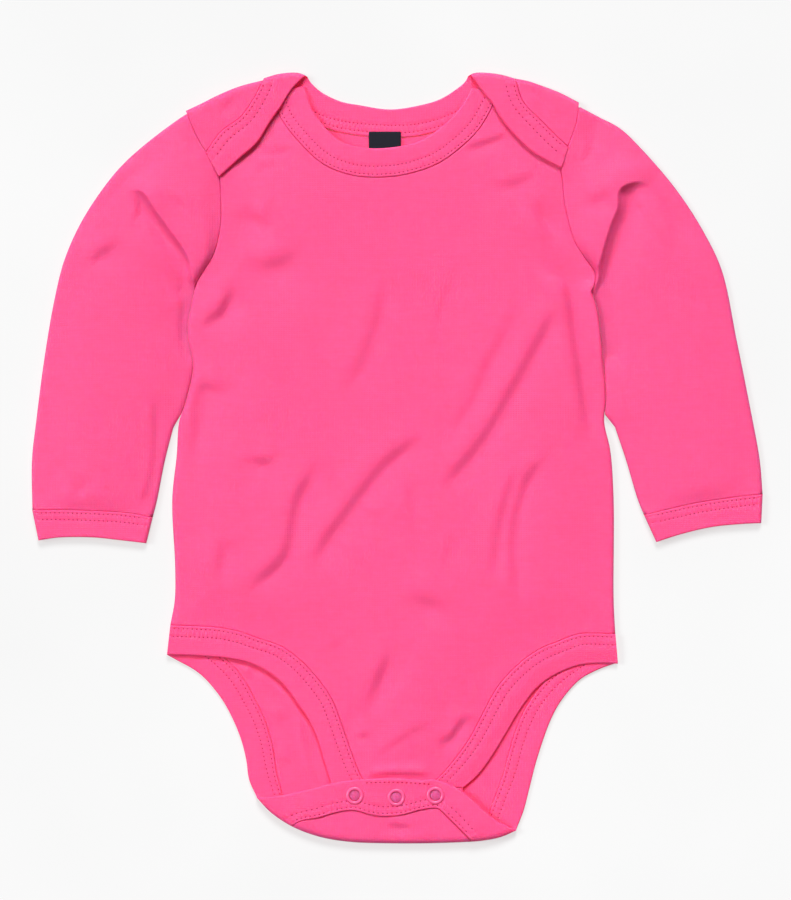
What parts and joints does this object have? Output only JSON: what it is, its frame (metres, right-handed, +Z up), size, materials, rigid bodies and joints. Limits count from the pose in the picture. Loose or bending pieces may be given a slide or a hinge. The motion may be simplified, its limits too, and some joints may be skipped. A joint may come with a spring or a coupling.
{
  "type": "baby onesie",
  "caption": "Long-sleeved baby bodysuit in jersey with an envelope neck, bound edges and crotch snaps, laid flat with its front side up",
  "frame": {"origin": "centre of the garment's bounding box, on the surface that it lies on", "axes": "+X is the viewer's right, +Y points to the neck, +Z points up out of the front"},
  "size_m": [0.4024, 0.4242, 0.0085],
  "materials": {
    "jersey": "matt combed-cotton jersey, fine knit, slightly heathered",
    "binding": "matt folded jersey binding, twin rows of stitching",
    "label": "dark woven satin label",
    "snap": "pink lacquered ring snap, satin gloss"
  },
  "bodies": {
    "root": {"back_panel": "jersey", "front_panel": "jersey", "sleeve_left": "jersey", "sleeve_right": "jersey", "cuff_left": "binding", "cuff_right": "binding", "back_neck_binding": "binding", "front_neck_binding": "binding", "leg_binding_front_left": "binding", "leg_binding_front_right": "binding", "leg_binding_back_left": "binding", "leg_binding_back_right": "binding", "back_snap_placket": "binding", "front_snap_placket": "binding", "snap_ring_1": "snap", "snap_ring_2": "snap", "snap_ring_3": "snap", "snap_stud_1": "snap", "snap_stud_2": "snap", "snap_stud_3": "snap", "neck_label": "label"}
  },
  "joints": []
}
